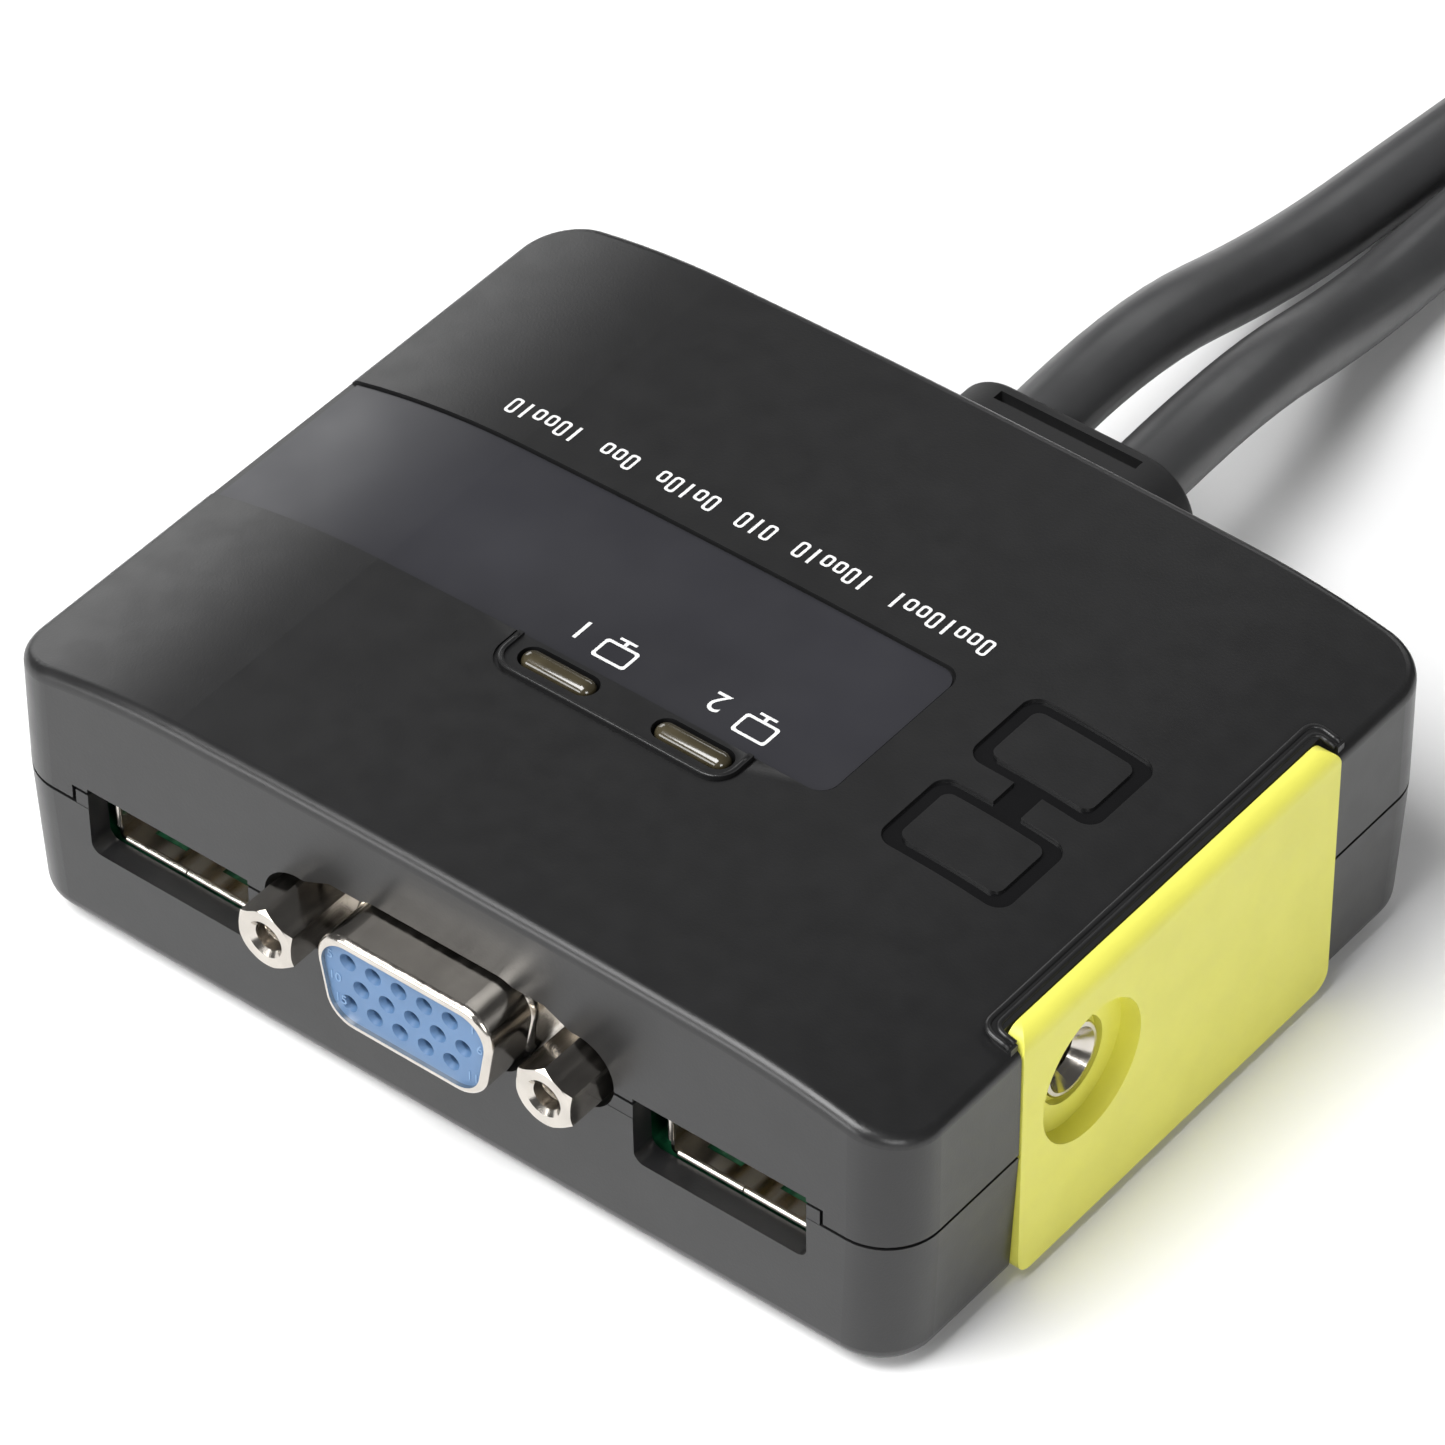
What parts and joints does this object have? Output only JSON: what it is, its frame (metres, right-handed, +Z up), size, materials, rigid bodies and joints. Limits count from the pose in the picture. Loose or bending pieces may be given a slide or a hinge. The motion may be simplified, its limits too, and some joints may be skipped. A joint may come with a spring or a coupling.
{
  "type": "kvm switch",
  "caption": "Small desktop switch that shares a keyboard, screen and mouse between computers, with video and USB sockets, a side audio jack and attached computer cables.",
  "frame": {"origin": "centre of the box around the case, its sockets and its grommet, on the surface that the feet stand on", "axes": "+Z up, -Y out of the video and USB sockets, +Y towards the cables, +X towards the audio jack"},
  "size_m": [0.1134, 0.2979, 0.0317],
  "materials": {
    "case_plastic": "fine satin texture",
    "panel_plastic": "satin lime yellow",
    "label_film": "semi-gloss film",
    "smoked_lens": "smoky clear",
    "led_resin": "diffused",
    "rubber": "matte",
    "circuit_board": "solder mask",
    "nickel": "bright nickel plate",
    "thumbscrew_nickel": "satin nickel plate",
    "screw_steel": "zinc plated",
    "blue_plastic": "satin",
    "contact_metal": "gold flash",
    "white_plastic": "satin",
    "dark_moulding": "satin",
    "capacitor_can": "satin",
    "cable_jacket": "soft vinyl",
    "plug_moulding": "soft vinyl",
    "tie_fabric": "hook and loop"
  },
  "bodies": {
    "switch": {"top_cover": "case_plastic", "bottom_cover": "case_plastic", "side_panel": "panel_plastic", "label_overlay": "label_film", "light_pipe_1": "smoked_lens", "light_pipe_2": "smoked_lens", "case_screws": "screw_steel", "rubber_feet": "rubber", "pcb": "circuit_board", "indicator_leds": "led_resin", "vga_bracket": "nickel", "vga_shell": "nickel", "vga_insulator": "blue_plastic", "vga_contacts": "contact_metal", "jackscrews": "nickel", "usb_shell_left": "nickel", "usb_shell_right": "nickel", "usb_tongue_left": "white_plastic", "usb_tongue_right": "white_plastic", "usb_contacts_left": "contact_metal", "usb_contacts_right": "contact_metal", "jack_body": "dark_moulding", "jack_ferrule": "nickel", "jack_springs": "contact_metal", "switching_chip": "dark_moulding", "video_buffers": "dark_moulding", "crystal": "screw_steel", "capacitors": "capacitor_can", "cable_headers": "white_plastic", "strain_relief": "rubber", "inner_cables": "cable_jacket", "cable_1": "cable_jacket", "cable_2": "cable_jacket", "cable_1_coil": "cable_jacket", "cable_2_coil": "cable_jacket", "cable_1_tail": "cable_jacket", "cable_2_tail": "cable_jacket", "coil_ties": "tie_fabric", "vga_plug_1_overmould": "plug_moulding", "vga_plug_1_shell": "nickel", "vga_plug_1_insulator": "blue_plastic", "vga_plug_1_pins": "contact_metal", "usb_lead_1": "cable_jacket", "usb_plug_1_overmould": "plug_moulding", "usb_plug_1_shell": "nickel", "usb_plug_1_tongue": "white_plastic", "vga_plug_2_overmould": "plug_moulding", "vga_plug_2_shell": "nickel", "vga_plug_2_insulator": "blue_plastic", "vga_plug_2_pins": "contact_metal", "usb_lead_2": "cable_jacket", "usb_plug_2_overmould": "plug_moulding", "usb_plug_2_shell": "nickel", "usb_plug_2_tongue": "white_plastic"},
    "thumbscrew_1_left": {"thumbscrew_1_left": "thumbscrew_nickel"},
    "thumbscrew_1_right": {"thumbscrew_1_right": "thumbscrew_nickel"},
    "thumbscrew_2_left": {"thumbscrew_2_left": "thumbscrew_nickel"},
    "thumbscrew_2_right": {"thumbscrew_2_right": "thumbscrew_nickel"}
  },
  "joints": [
    {"name": "thumbscrew_1_left_turn", "type": "hinge", "parent": "switch", "child": "thumbscrew_1_left", "pos_m": [-0.0185, 0.239, 0.0075], "axis": [0, 1, 0], "continuous": true},
    {"name": "thumbscrew_1_right_turn", "type": "hinge", "parent": "switch", "child": "thumbscrew_1_right", "pos_m": [0.00649, 0.239, 0.0075], "axis": [0, 1, 0], "continuous": true},
    {"name": "thumbscrew_2_left_turn", "type": "hinge", "parent": "switch", "child": "thumbscrew_2_left", "pos_m": [0.0155, 0.2495, 0.0075], "axis": [0, 1, 0], "continuous": true},
    {"name": "thumbscrew_2_right_turn", "type": "hinge", "parent": "switch", "child": "thumbscrew_2_right", "pos_m": [0.0405, 0.2495, 0.0075], "axis": [0, 1, 0], "continuous": true}
  ]
}
